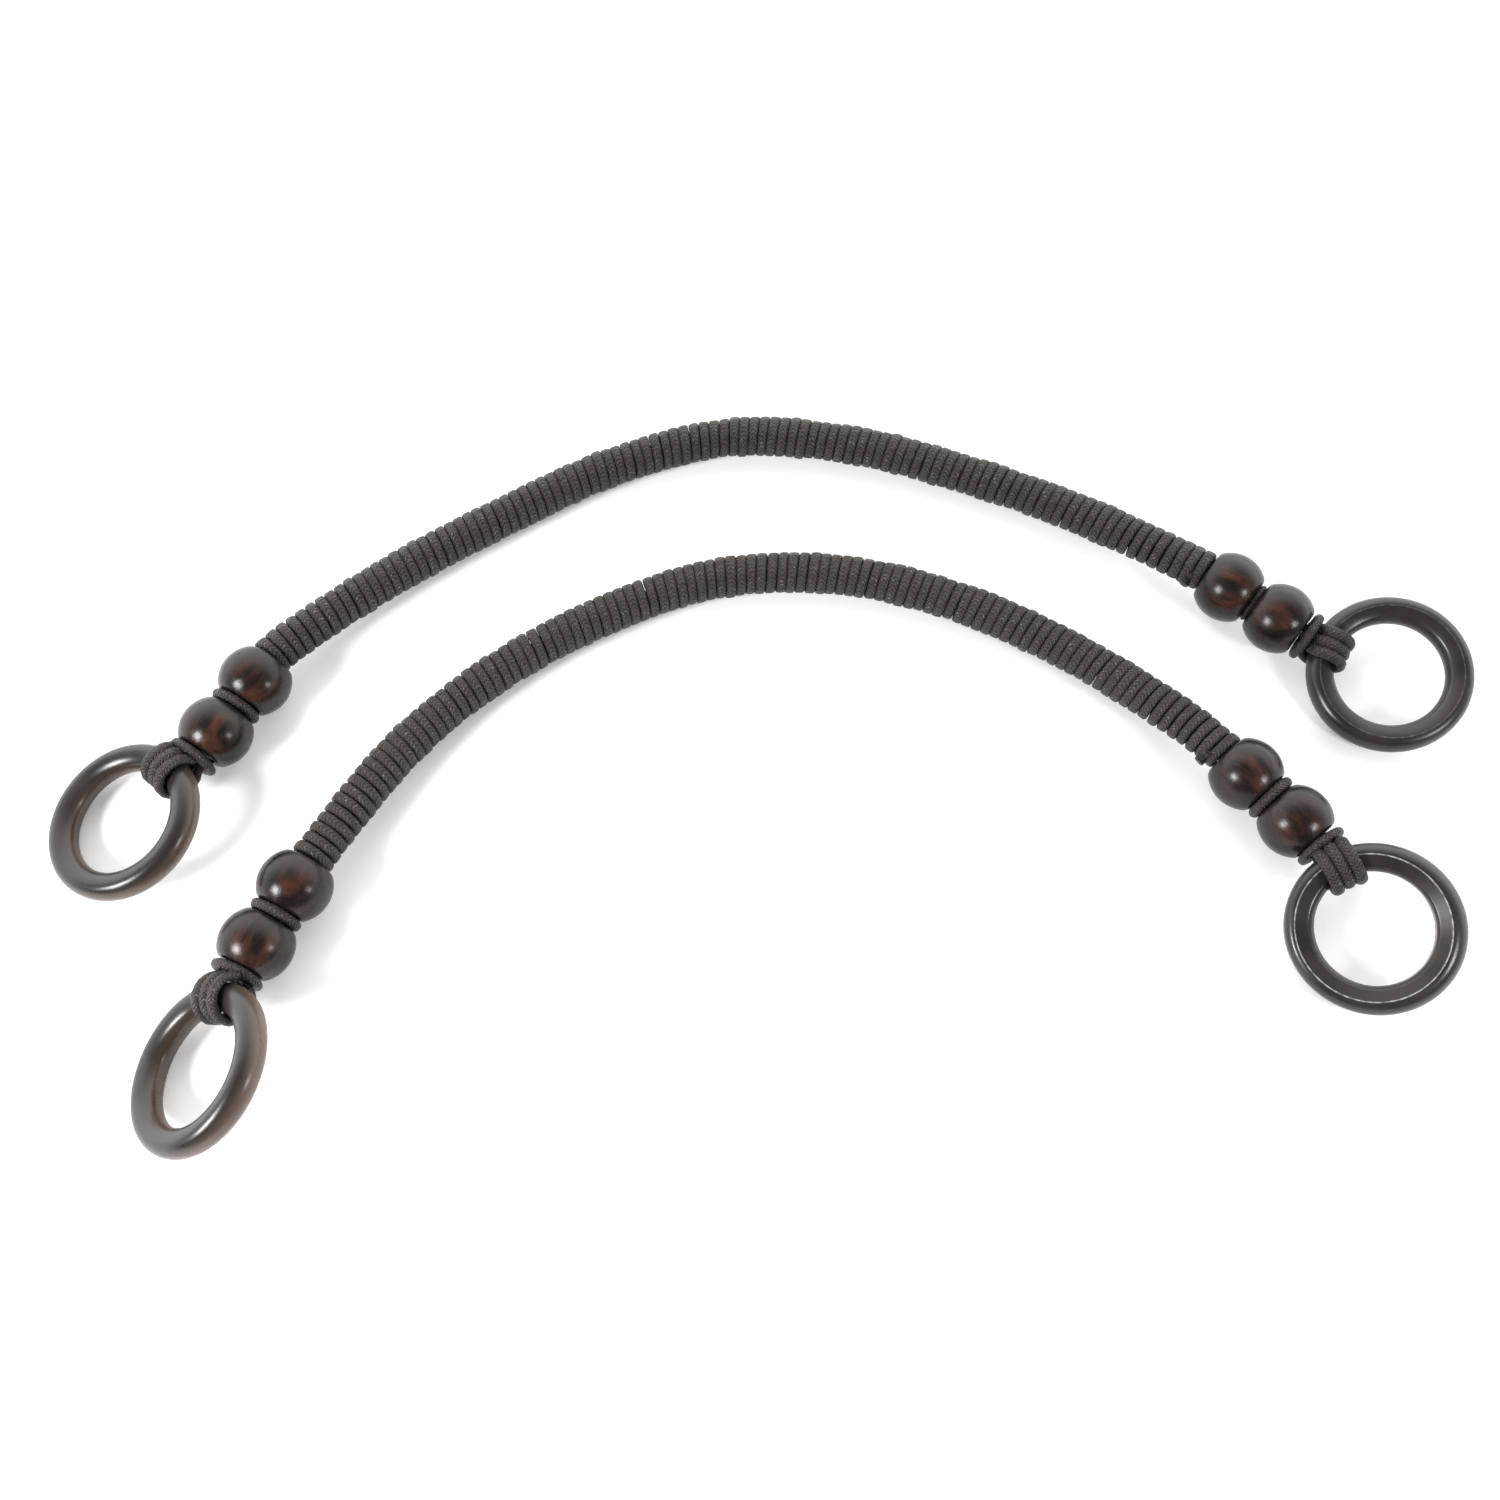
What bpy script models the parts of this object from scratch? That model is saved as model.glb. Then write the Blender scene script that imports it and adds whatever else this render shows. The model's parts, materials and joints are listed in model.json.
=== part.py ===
"""A matched pair of bag handles: an arched grip of waxed cord wound on a cord core,
with two round wooden beads, two cord collars and a corded-on wooden ring at each end.

Both handles lie on the ground, the back one nested behind the front one.
Metres, +Z up, +X along the pair, origin under the middle of the pair on the ground.
"""
import math

import bmesh
import bpy
from mathutils import Matrix, Vector

MM = 0.001

# Driving dimensions.
GRIP_RADIUS = 5.9 * MM          # wound grip
CORE_RADIUS = 2.9 * MM          # three cords under the winding
SLEEVE_BORE = 3.2 * MM
GRIP_SEGMENTS = 5               # rigid lengths that stand for the flexible grip
KNUCKLE_GAP = 0.4 * MM          # between a domed and a cupped segment end
END_MARGIN = 0.4 * MM           # from a segment's end to its first straight row
CUP_MARGIN = 0.5 * MM           # from the rim of a cup to the same row
CORE_TIP_RADIUS = 0.4 * MM      # the flat at the tip of a domed core
BEAD_RADIUS = 10.0 * MM
BEAD_HALF_LENGTH = 7.4 * MM     # a drilled bead is shorter than it is wide
BEAD_BORE = 4.6 * MM
BEAD_TO_GRIP = 0.8 * MM
BUNDLE_RADIUS = 3.9 * MM        # cords gathered through the beads
BUNDLE_INSET = 0.2 * MM         # its end inside the outer bead's bore
COLLAR_RADIUS = 6.5 * MM        # centre line of a one-turn cord collar
COLLAR_CORD_RADIUS = 0.9 * MM
SUNK_COLLAR_RADIUS = 5.5 * MM   # the collar pulled down between two beads
SUNK_CORD_RADIUS = 0.6 * MM
SUNK_SPACING = 17.0             # beads closer than this, in millimetres, sink it
NECK_COLLAR_REACH = 9.2 * MM    # outer bead centre to neck collar
NECK_BEAD_WEIGHT = 1.5          # how far the neck follows the beads and not the ring
RING_RADIUS = 18.7 * MM         # tube centre of a 45 mm ring
TUBE_OUT = 3.8 * MM             # tube centre to the outer edge
TUBE_HALF_HEIGHT = 3.9 * MM
TUBE_CREST = 0.5 * MM           # the crest stands outside the tube centre
HOLE_RADIUS = 14.9 * MM
SHOULDER_WIDTH = 1.3 * MM       # from the hole to where the inner face begins
SHOULDER_HEIGHT = 2.8 * MM
SEAT_HALF_HEIGHT = 1.3 * MM     # flat band round the hole
STRAND_RADIUS = 1.0 * MM
STRAND_CLEARANCE = 0.66 * MM    # between a strand and the ring's tube
STRAND_PITCH = 2.55 * MM        # from one strand to the next, across the loop
STRANDS = (-1, 0, 1)
NECK_BUNCH_RADIUS = 2.75 * MM   # the six strand legs inside the neck collar
NECK_SPREAD = math.radians(60)  # from one leg to the next inside it
LEG_START = 0.8 * MM            # behind the middle of the neck collar
LEG_STOP = 0.4 * MM             # in front of it

BEAD_HEIGHT = 10.0 * MM
GROUND_CENTRE = Vector((5.778, -3.797, 0.0)) * MM     # of the laid-out pair

WOOD = (0.030, 0.022, 0.019, 1.0)
CORD_COLOUR = (0.068, 0.060, 0.055, 1.0)

# Each end: inner bead centre on the ground plan, then headings in degrees of the bead
# axis, the neck and the ring, the way the ring's normal leans, the bead spacing, and
# the reach from the outer bead's centre to the middle of the ring's tube.
HANDLES = {
    "front": {
        "left": {"bead": (-121.0, -43.4), "beads": 243.0, "neck": 252.0, "ring": 258.0,
                 "lean": (-0.545, 0.12), "spacing": 18.0, "reach": 16.6},
        "right": {"bead": (136.0, -11.4), "beads": -50.0, "neck": -58.0, "ring": -65.0,
                  "lean": (-0.27, -0.25), "spacing": 18.0, "reach": 16.2},
        "grip": [(-115.9, -33.4, 9.7), (-96.4, -2.7, 7.6), (-72.4, 21.1, 6.3),
                 (-42.7, 39.6, 6.0), (-10.0, 52.0, 6.0), (25.2, 53.4, 6.0),
                 (59.1, 44.8, 6.0), (90.4, 28.8, 6.4), (116.9, 8.9, 8.2),
                 (128.6, -2.5, 9.7)],
    },
    "back": {
        "left": {"bead": (-139.3, 16.9), "beads": 240.5, "neck": 232.0, "ring": 229.0,
                 "lean": (-0.27, 0.02), "spacing": 18.0, "reach": 15.6},
        "right": {"bead": (138.6, 46.9), "beads": -38.5, "neck": -32.5, "ring": -28.5,
                  "lean": (-0.17, -0.20), "spacing": 16.4, "reach": 15.5},
        "grip": [(-132.6, 28.0, 9.7), (-104.5, 52.2, 7.6), (-72.8, 73.4, 6.3),
                 (-41.0, 91.0, 6.0), (-5.8, 101.4, 6.0), (30.8, 98.6, 6.0),
                 (65.9, 87.8, 6.0), (98.3, 73.2, 7.2), (129.2, 54.2, 9.7)],
    },
}
SIDES = ("left", "right")

SLEEVE_SIDES = 12
CORE_SIDES = 6
STRAIGHT_ROWS = 5               # along each segment
BEAD_STEPS = 16
BEAD_ARC_POINTS = 7
RING_STEPS = 32
RING_ARC_POINTS = 5
COLLAR_SEGMENTS = (18, 6)
LOOP_STEPS = 9
SAMPLES_PER_SPAN = 24
MERGE_DISTANCE = 0.00001
SHARP_ANGLE = math.radians(40)


def ground_point(x, y, z=0.0):
    """A point of the layout, given in millimetres, in the part's own frame in metres."""
    return Vector((x, y, z)) * MM - GROUND_CENTRE


def heading(degrees):
    angle = math.radians(degrees)
    return Vector((math.cos(angle), math.sin(angle), 0.0))


def spline(points):
    """A smooth curve through the points, as closely spaced samples."""
    padded = [points[0] * 2 - points[1]] + points + [points[-1] * 2 - points[-2]]
    samples = []
    for a, b, c, d in zip(padded, padded[1:], padded[2:], padded[3:]):
        for step in range(SAMPLES_PER_SPAN):
            t = step / SAMPLES_PER_SPAN
            samples.append((b * 2 + (c - a) * t + (a * 2 - b * 5 + c * 4 - d) * t * t
                            + (b * 3 - a - c * 3 + d) * t ** 3) / 2)
    return samples + [points[-1]]


class Route:
    """A sampled curve that can be read at any distance along it."""

    def __init__(self, points):
        self.points = spline(points)
        self.lengths = [0.0]
        for a, b in zip(self.points, self.points[1:]):
            self.lengths.append(self.lengths[-1] + (b - a).length)

    def point(self, distance):
        for i in range(1, len(self.points)):
            if distance <= self.lengths[i] or i == len(self.points) - 1:
                span = self.lengths[i] - self.lengths[i - 1]
                return self.points[i - 1].lerp(self.points[i],
                                               (distance - self.lengths[i - 1]) / span)

    def frame(self, distance):
        """Matrix with +X along the curve, +Y level across it and +Z upward."""
        reach = 1.0 * MM
        along = self.point(distance + reach) - self.point(distance - reach)
        return frame_matrix(self.point(distance), along, Vector((0, 0, 1)))


def frame_matrix(origin, along, upward):
    """Matrix with +X along, and +Z as near upward as a right angle allows."""
    x = along.normalized()
    y = upward.cross(x).normalized()
    z = x.cross(y)
    turn = Matrix((x, y, z)).transposed().to_4x4()
    return Matrix.Translation(origin) @ turn


def end_layout(end):
    """Places and frames of everything at one end of a handle."""
    axis = heading(end["beads"])
    inner = ground_point(*end["bead"]) + Vector((0, 0, BEAD_HEIGHT))
    outer = inner + axis * end["spacing"] * MM
    lean_x, lean_y = end["lean"]
    normal = Vector((lean_x, lean_y, math.sqrt(1 - lean_x ** 2 - lean_y ** 2)))
    toward = heading(end["ring"])
    toward.z = -normal.dot(toward) / normal.z
    toward.normalize()
    crest_radius = RING_RADIUS + TUBE_CREST
    ring_height = crest_radius * math.hypot(lean_x, lean_y) + TUBE_HALF_HEIGHT
    loop_height = ring_height - RING_RADIUS * toward.z
    rise = loop_height - BEAD_HEIGHT
    run = math.sqrt((end["reach"] * MM) ** 2 - rise ** 2)
    loop = outer + heading(end["neck"]) * run + Vector((0, 0, rise))
    neck_axis = ((loop - outer).normalized() + axis * NECK_BEAD_WEIGHT).normalized()
    return {
        "inner": frame_matrix(inner, axis, Vector((0, 0, 1))),
        "outer": frame_matrix(outer, axis, Vector((0, 0, 1))),
        "middle": frame_matrix((inner + outer) / 2, axis, Vector((0, 0, 1))),
        "neck": frame_matrix(outer + neck_axis * NECK_COLLAR_REACH, neck_axis, normal),
        "loop": frame_matrix(loop, toward, normal),
        "ring": frame_matrix(loop + toward * RING_RADIUS, toward, normal),
        "sunk": end["spacing"] < SUNK_SPACING,
    }


def grip_route(handle):
    """The grip's centre line, from the left outer bead to the right one."""
    left = end_layout(handle["left"])
    right = end_layout(handle["right"])
    middle = [ground_point(*point) for point in handle["grip"]]
    return Route([left["outer"].translation, left["inner"].translation] + middle
                 + [right["inner"].translation, right["outer"].translation])


def grip_stations(handle, route):
    """Distances along the route of the grip's two ends and the pivots between."""
    reach = BEAD_HALF_LENGTH + BEAD_TO_GRIP
    start = handle["left"]["spacing"] * MM + reach
    finish = route.lengths[-1] - handle["right"]["spacing"] * MM - reach
    step = (finish - start) / GRIP_SEGMENTS
    return [start + step * i for i in range(GRIP_SEGMENTS + 1)]


def material(name, colour, roughness):
    made = bpy.data.materials.get(name) or bpy.data.materials.new(name)
    made.use_nodes = True
    shader = made.node_tree.nodes["Principled BSDF"]
    shader.inputs["Base Color"].default_value = colour
    shader.inputs["Roughness"].default_value = roughness
    shader.inputs["Metallic"].default_value = 0.0
    return made


def wood():
    return material("dark_stained_wood", WOOD, 0.32)


def cord():
    return material("waxed_cord", CORD_COLOUR, 0.75)


def finish(obj, name, surface, collection):
    """Name an object, give it its material and put it in the collection."""
    obj.name = name
    obj.data.name = name
    obj.data.materials.clear()
    obj.data.materials.append(surface)
    for owner in list(obj.users_collection):
        owner.objects.unlink(obj)
    collection.objects.link(obj)
    return obj


def turned_ring(name, profile, steps, frame, surface, collection):
    """Turn a closed (radius, height) profile about the frame's own +Z."""
    mesh = bpy.data.meshes.new(name)
    count = len(profile)
    edges = [(i, (i + 1) % count) for i in range(count)]
    mesh.from_pydata([(radius, 0.0, height) for radius, height in profile], edges, [])
    obj = bpy.data.objects.new(name, mesh)
    obj.matrix_world = frame
    screw = obj.modifiers.new("turn", "SCREW")
    screw.steps = screw.render_steps = steps
    screw.use_merge_vertices = True
    screw.merge_threshold = MERGE_DISTANCE
    screw.use_smooth_shade = True
    return finish(obj, name, surface, collection)


def bead_profile():
    """Outer arc from the top face down to the bottom one, then up the bore."""
    rim = math.asin(BEAD_HALF_LENGTH / BEAD_RADIUS)
    last = BEAD_ARC_POINTS - 1
    angles = [rim - 2 * rim * i / last for i in range(BEAD_ARC_POINTS)]
    outside = [(BEAD_RADIUS * math.cos(a), BEAD_RADIUS * math.sin(a)) for a in angles]
    return outside + [(BEAD_BORE, -BEAD_HALF_LENGTH), (BEAD_BORE, BEAD_HALF_LENGTH)]


def ring_profile():
    """Round outside, a crest on the top and bottom, and a flat band round the hole."""
    crest = RING_RADIUS + TUBE_CREST
    reach = RING_RADIUS + TUBE_OUT - crest
    last = RING_ARC_POINTS - 1
    angles = [math.pi / 2 - math.pi * i / last for i in range(RING_ARC_POINTS)]
    outside = [(crest + reach * math.cos(a), TUBE_HALF_HEIGHT * math.sin(a))
               for a in angles]
    shoulder = HOLE_RADIUS + SHOULDER_WIDTH
    return outside + [(shoulder, -SHOULDER_HEIGHT), (HOLE_RADIUS, -SEAT_HALF_HEIGHT),
                      (HOLE_RADIUS, SEAT_HALF_HEIGHT), (shoulder, SHOULDER_HEIGHT)]


def tube_mesh(name, rows, sides, hollow):
    """Skin rows of (frame, offset along, radius) into one closed body.

    A hollow body's last row joins its first one, and a solid body is capped.
    """
    mesh = bmesh.new()
    loops = []
    for frame, along, radius in rows:
        angles = [2 * math.pi * i / sides for i in range(sides)]
        loops.append([mesh.verts.new(frame @ Vector((along, radius * math.cos(a),
                                                     radius * math.sin(a))))
                      for a in angles])
    pairs = list(zip(loops, loops[1:]))
    if hollow:
        pairs.append((loops[-1], loops[0]))
    for first, second in pairs:
        for i in range(sides):
            j = (i + 1) % sides
            mesh.faces.new((first[i], first[j], second[j], second[i]))
    if not hollow:
        mesh.faces.new(loops[0])
        mesh.faces.new(loops[-1])
    bmesh.ops.recalc_face_normals(mesh, faces=mesh.faces)
    data = bpy.data.meshes.new(name)
    mesh.to_mesh(data)
    mesh.free()
    data.shade_smooth()
    data.set_sharp_from_angle(angle=SHARP_ANGLE)
    return bpy.data.objects.new(name, data)


def end_rows(frame, sign, kind, radii):
    """Rows that close one end of a segment: flat, domed or cupped on its pivot.

    The radii run from the outside of the segment inward, and sign is +1 at the end
    that faces along the route.
    """
    if kind == "flat":
        return [(frame, 0.0, radius) for radius in radii]
    if kind == "dome":
        return [(frame, sign * math.sqrt(GRIP_RADIUS ** 2 - radius ** 2), radius)
                for radius in radii]
    cup = GRIP_RADIUS + KNUCKLE_GAP
    return [(frame, -sign * math.sqrt(cup ** 2 - radius ** 2), radius)
            for radius in radii]


def segment_rows(route, start, stop, kinds, outer, inner, hollow):
    """Rows of one segment: one end, down its outside, the other end and back inside.

    A solid segment ends at its second end's innermost row.
    """
    clear = GRIP_RADIUS + KNUCKLE_GAP + CUP_MARGIN
    first = start + (clear if kinds[0] == "cup" else END_MARGIN)
    last = stop - (clear if kinds[1] == "cup" else END_MARGIN)
    step = (last - first) / (STRAIGHT_ROWS - 1)
    places = [first + step * i for i in range(STRAIGHT_ROWS)]
    fade = [outer, (outer * 2 + inner) / 3, (outer + inner * 2) / 3, inner]
    start_frame = route.frame(start)
    stop_frame = route.frame(stop)
    rows = list(reversed(end_rows(start_frame, -1, kinds[0], fade)))
    rows += [(route.frame(place), 0.0, outer) for place in places]
    rows += end_rows(stop_frame, 1, kinds[1], fade)
    if hollow:
        rows += [(route.frame(place), 0.0, inner) for place in reversed(places)]
    return rows


def segment_kinds(index):
    """Domes point away from the middle segment, into the next one's cup."""
    middle = GRIP_SEGMENTS // 2
    if index == middle:
        return ("dome", "dome")
    if index < middle:
        return ("flat" if index == 0 else "dome", "cup")
    return ("cup", "flat" if index == GRIP_SEGMENTS - 1 else "dome")


def grip(prefix, handle, collection):
    """The wound grip: a winding sleeve and a cord core in each segment."""
    route = grip_route(handle)
    stations = grip_stations(handle, route)
    for index in range(GRIP_SEGMENTS):
        start, stop = stations[index], stations[index + 1]
        kinds = segment_kinds(index)
        rows = segment_rows(route, start, stop, kinds, GRIP_RADIUS, SLEEVE_BORE, True)
        name = f"{prefix}_grip_winding_{index + 1}"
        finish(tube_mesh(name, rows, SLEEVE_SIDES, True), name, cord(), collection)
        rows = segment_rows(route, start, stop, kinds, CORE_RADIUS, CORE_TIP_RADIUS,
                            False)
        name = f"{prefix}_grip_core_{index + 1}"
        finish(tube_mesh(name, rows, CORE_SIDES, False), name, cord(), collection)


def collar(name, frame, radius, cord_radius, collection):
    """One turn of cord about the frame's +X."""
    major, minor = COLLAR_SEGMENTS
    bpy.ops.mesh.primitive_torus_add(major_segments=major, minor_segments=minor,
                                     major_radius=radius, minor_radius=cord_radius)
    obj = bpy.context.object
    obj.matrix_world = frame @ Matrix.Rotation(math.pi / 2, 4, "Y")
    obj.data.shade_smooth()
    return finish(obj, name, cord(), collection)


def cord_curve(name, points, radius, collection):
    """A length of cord along the points."""
    data = bpy.data.curves.new(name, "CURVE")
    data.dimensions = "3D"
    data.bevel_depth = radius
    data.bevel_resolution = 1
    data.use_fill_caps = True
    line = data.splines.new("POLY")
    line.points.add(len(points) - 1)
    for target, point in zip(line.points, points):
        target.co = (*point, 1.0)
    return finish(bpy.data.objects.new(name, data), name, cord(), collection)


def strand_points(layout, place):
    """A strand: out of the neck collar, round the ring's tube and back in.

    Each leg runs straight from the collar to where it meets the loop's circle.
    """
    lateral = place * STRAND_PITCH
    set_back = RING_RADIUS - math.sqrt(RING_RADIUS ** 2 - lateral ** 2)
    reach = TUBE_OUT + STRAND_CLEARANCE + STRAND_RADIUS
    across = NECK_BUNCH_RADIUS * math.sin(NECK_SPREAD * place)
    height = NECK_BUNCH_RADIUS * math.cos(NECK_SPREAD * place)
    legs = []
    angles = []
    for side in (1, -1):
        legs.append([layout["neck"] @ Vector((along, across, side * height))
                     for along in (-LEG_START, LEG_STOP)])
        foot = layout["loop"].inverted() @ legs[-1][1]
        toward_bead = set_back - foot.x
        distance = math.hypot(toward_bead, foot.z)
        rise = math.atan2(side * foot.z, toward_bead)
        angles.append(rise + math.acos(min(1.0, reach / distance)))
    first, last = angles[0], 2 * math.pi - angles[1]
    turns = [first + (last - first) * step / LOOP_STEPS for step in range(LOOP_STEPS + 1)]
    loop = [layout["loop"] @ Vector((set_back - reach * math.cos(turn), lateral,
                                     reach * math.sin(turn))) for turn in turns]
    return legs[0] + loop + legs[1][::-1]


def handle_end(prefix, end, collection):
    """Beads, collars, cord bundle, strands and ring of one end."""
    layout = end_layout(end)
    z_along = Matrix.Rotation(math.pi / 2, 4, "Y")
    for place in ("inner", "outer"):
        turned_ring(f"{prefix}_{place}_bead", bead_profile(), BEAD_STEPS,
                    layout[place] @ z_along, wood(), collection)
    if layout["sunk"]:
        collar(f"{prefix}_mid_collar", layout["middle"], SUNK_COLLAR_RADIUS,
               SUNK_CORD_RADIUS, collection)
    else:
        collar(f"{prefix}_mid_collar", layout["middle"], COLLAR_RADIUS,
               COLLAR_CORD_RADIUS, collection)
    collar(f"{prefix}_neck_collar", layout["neck"], COLLAR_RADIUS,
           COLLAR_CORD_RADIUS, collection)
    axis = (layout["outer"].translation - layout["inner"].translation).normalized()
    bundle_start = layout["inner"].translation - axis * BEAD_HALF_LENGTH
    bundle_stop = layout["outer"].translation + axis * (BEAD_HALF_LENGTH - BUNDLE_INSET)
    cord_curve(f"{prefix}_cord_bundle", [bundle_start, bundle_stop], BUNDLE_RADIUS,
               collection)
    for number, place in enumerate(STRANDS, 1):
        cord_curve(f"{prefix}_strand_{number}", strand_points(layout, place),
                   STRAND_RADIUS, collection)
    half_step = Matrix.Rotation(math.pi / RING_STEPS, 4, "Z")
    turned_ring(f"{prefix}_ring", ring_profile(), RING_STEPS, layout["ring"] @ half_step,
                wood(), collection)


def clear_scene():
    for obj in list(bpy.data.objects):
        bpy.data.objects.remove(obj, do_unlink=True)


def main():
    clear_scene()
    collection = bpy.data.collections.new("wound_cord_bag_handles")
    bpy.context.scene.collection.children.link(collection)
    for prefix, handle in HANDLES.items():
        grip(prefix, handle, collection)
        for side in SIDES:
            handle_end(f"{prefix}_{side}", handle[side], collection)


main()
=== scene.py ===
"""The looks of a matched pair of bag handles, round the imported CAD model.

Each handle is a grip of waxed cord wound on three cords. Each of its ends has two
stained wooden beads, two cord collars and a wooden ring tied on with three strands.
Metres, in the frame of the CAD model.
"""
import json
import math

import bpy
import numpy as np
from mathutils import Matrix, Vector

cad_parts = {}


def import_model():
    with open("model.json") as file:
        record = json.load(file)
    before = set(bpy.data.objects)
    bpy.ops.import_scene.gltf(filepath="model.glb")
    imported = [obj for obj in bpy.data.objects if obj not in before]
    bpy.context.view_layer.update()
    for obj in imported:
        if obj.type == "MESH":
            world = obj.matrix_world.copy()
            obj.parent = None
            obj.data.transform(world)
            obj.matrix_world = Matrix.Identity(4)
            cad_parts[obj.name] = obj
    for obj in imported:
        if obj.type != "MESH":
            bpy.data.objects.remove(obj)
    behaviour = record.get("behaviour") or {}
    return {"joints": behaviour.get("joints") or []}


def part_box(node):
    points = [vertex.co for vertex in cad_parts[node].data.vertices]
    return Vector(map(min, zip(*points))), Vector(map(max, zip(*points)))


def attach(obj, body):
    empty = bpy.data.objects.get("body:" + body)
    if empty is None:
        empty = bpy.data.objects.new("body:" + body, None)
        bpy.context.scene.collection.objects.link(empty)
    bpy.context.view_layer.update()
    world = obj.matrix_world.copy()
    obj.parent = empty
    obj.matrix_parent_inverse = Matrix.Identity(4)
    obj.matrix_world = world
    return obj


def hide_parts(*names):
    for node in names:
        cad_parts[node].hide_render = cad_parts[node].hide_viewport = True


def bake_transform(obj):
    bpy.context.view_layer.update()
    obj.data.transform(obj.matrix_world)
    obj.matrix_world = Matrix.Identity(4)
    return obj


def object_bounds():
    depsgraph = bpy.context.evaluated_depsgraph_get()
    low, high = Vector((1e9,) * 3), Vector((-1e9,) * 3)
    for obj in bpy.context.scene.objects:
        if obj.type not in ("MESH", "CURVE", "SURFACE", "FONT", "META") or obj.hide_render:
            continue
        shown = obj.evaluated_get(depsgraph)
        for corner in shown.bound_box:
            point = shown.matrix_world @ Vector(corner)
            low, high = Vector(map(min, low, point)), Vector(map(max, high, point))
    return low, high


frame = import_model()
cad_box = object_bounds()

MM = 0.001
UP = Vector((0.0, 0.0, 1.0))

# The grip's own route, as the CAD model has it, in millimetres from the layout's origin.
GROUND_CENTRE = Vector((5.778, -3.797, 0.0)) * MM
GRIP_POINTS = {
    "front": [(-115.9, -33.4, 9.7), (-96.4, -2.7, 7.6), (-72.4, 21.1, 6.3),
              (-42.7, 39.6, 6.0), (-10.0, 52.0, 6.0), (25.2, 53.4, 6.0),
              (59.1, 44.8, 6.0), (90.4, 28.8, 6.4), (116.9, 8.9, 8.2),
              (128.6, -2.5, 9.7)],
    "back": [(-132.6, 28.0, 9.7), (-104.5, 52.2, 7.6), (-72.8, 73.4, 6.3),
             (-41.0, 91.0, 6.0), (-5.8, 101.4, 6.0), (30.8, 98.6, 6.0),
             (65.9, 87.8, 6.0), (98.3, 73.2, 7.2), (129.2, 54.2, 9.7)],
}
SIDES = ("left", "right")
BEAD_PLACES = ("inner", "outer")
GRIP_SEGMENTS = 5
END_SEGMENT = {"left": 1, "right": GRIP_SEGMENTS}

# Sizes that the CAD model has too.
GRIP_RADIUS = 5.9 * MM
BEAD_RADIUS = 10.0 * MM
BEAD_HALF_LENGTH = 7.4 * MM
BEAD_BORE = 4.6 * MM
BEAD_EASED = math.radians(7)    # of the arc, worn away at the edge of its flat face
BEAD_TO_GRIP = 0.8 * MM
WINDING_TO_BEAD = 0.15 * MM     # the real cord is wound right up to the bead
RING_RADIUS = 18.7 * MM
RING_OUTER_RADIUS = 22.5 * MM
RING_HALF_HEIGHT = 3.9 * MM
RING_CREST_RADIUS = 19.2 * MM
HOLE_RADIUS = 14.9 * MM

# The cords.
WINDING_PITCH = 3.04 * MM
WINDING_HALF_WIDTH = 1.53 * MM
WINDING_HALF_THICKNESS = 1.42 * MM
WINDING_RADIUS = GRIP_RADIUS - WINDING_HALF_THICKNESS
WINDING_SAMPLES = 56            # along each turn
WINDING_SIDES = 16
WINDING_SQUARENESS = 0.58       # 1 is an ellipse, less is squarer
WINDING_TUCK = 0.5 * MM         # how far its two ends dip under
WINDING_TUCKED_PART = 0.12      # of a turn, over which they dip
SWELL = 0.03                    # of a cord's thickness, how unevenly it is made
CORD_ROUND = 9.4                # millimetres round a cord
PLAIT_LENGTH = 0.95             # millimetres along the cord, from one plait to the next
PLAIT_COLUMNS = 8               # round the cord, leaning in turn left and right
PLAIT_LEAN = 1.05               # how many plaits a column leans by
LUMP_LENGTH = 2.9 * MM          # the cord's own unevenness
LUMP_DEPTH = 0.035 * MM
TURN_LOOSENESS = 0.15 * MM      # how unevenly the turns stand up
TURN_DRIFT = 0.11 * MM          # how unevenly they are spaced
SEATED_PART = 0.8               # of an end turn that lies flat against the bead
SEATED_TURNS = 8                # over which the turns go back to an even helix
FLEX_REACH = 20.0 * MM          # each side of a pivot, where the route's points are read
CORD_SIDES = 14
CORD_SPACING = 0.4 * MM         # between the rows of a laid cord's mesh
SPAN_SAMPLES = 40               # between two points of a route
SHARP_ANGLE = math.radians(55)
SQUEEZE_REACH = 8.0 * MM
CORE_CORDS = 3
CORE_CORD_RADIUS = 1.28 * MM
CORE_CORD_SIDES = 10
CORE_SPACING = 1.5 * MM         # between the rows of a core cord's mesh
CORE_LAY_RADIUS = 1.50 * MM
CORE_TWIST_LENGTH = 55.0 * MM
BUNDLE_CORDS = 7                # one in the middle and six round it
BUNDLE_LAY_RADIUS = 2.6 * MM
BUNDLE_INSET = 0.4 * MM         # its end inside the outer bead's bore
COLLAR_POINTS = 24              # of a collar's circle
COLLAR_LEAD = 3                 # points repeated at each end, to close it smoothly
COLLAR_PHASES = 6.0             # radians that the start of its unevenness varies by
COLLAR_RADIUS = 5.80 * MM
COLLAR_CORD_RADIUS = 1.47 * MM
NECK_COLLAR_FLATNESS = 0.88     # of that radius, along the collar's axis
NECK_COLLAR_SHIFT = 0.04 * MM   # towards the ring; the front ones still cut the bead
NECK_COLLAR_LEAN = {"front_left": 0.04 * MM, "front_right": 0.35 * MM,
                    "back_left": 0.04 * MM, "back_right": 0.04 * MM}
SUNK_SPACING = 17.0 * MM        # beads closer than this sink the collar between them
SUNK_COLLAR_RADIUS = 5.0 * MM
SUNK_CORD_RADIUS = 0.72 * MM
STRAND_HALF_WIDTH = 1.66 * MM
STRAND_HALF_THICKNESS = 1.18 * MM
STRAND_PITCH = 3.25 * MM
STRAND_REACH = 5.78 * MM        # from the middle of the ring's tube
STRAND_ARC_POINTS = 11
LEG_PLACES = (-1.6 * MM, -0.5 * MM, 0.6 * MM)   # along the neck, inside its collar
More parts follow.
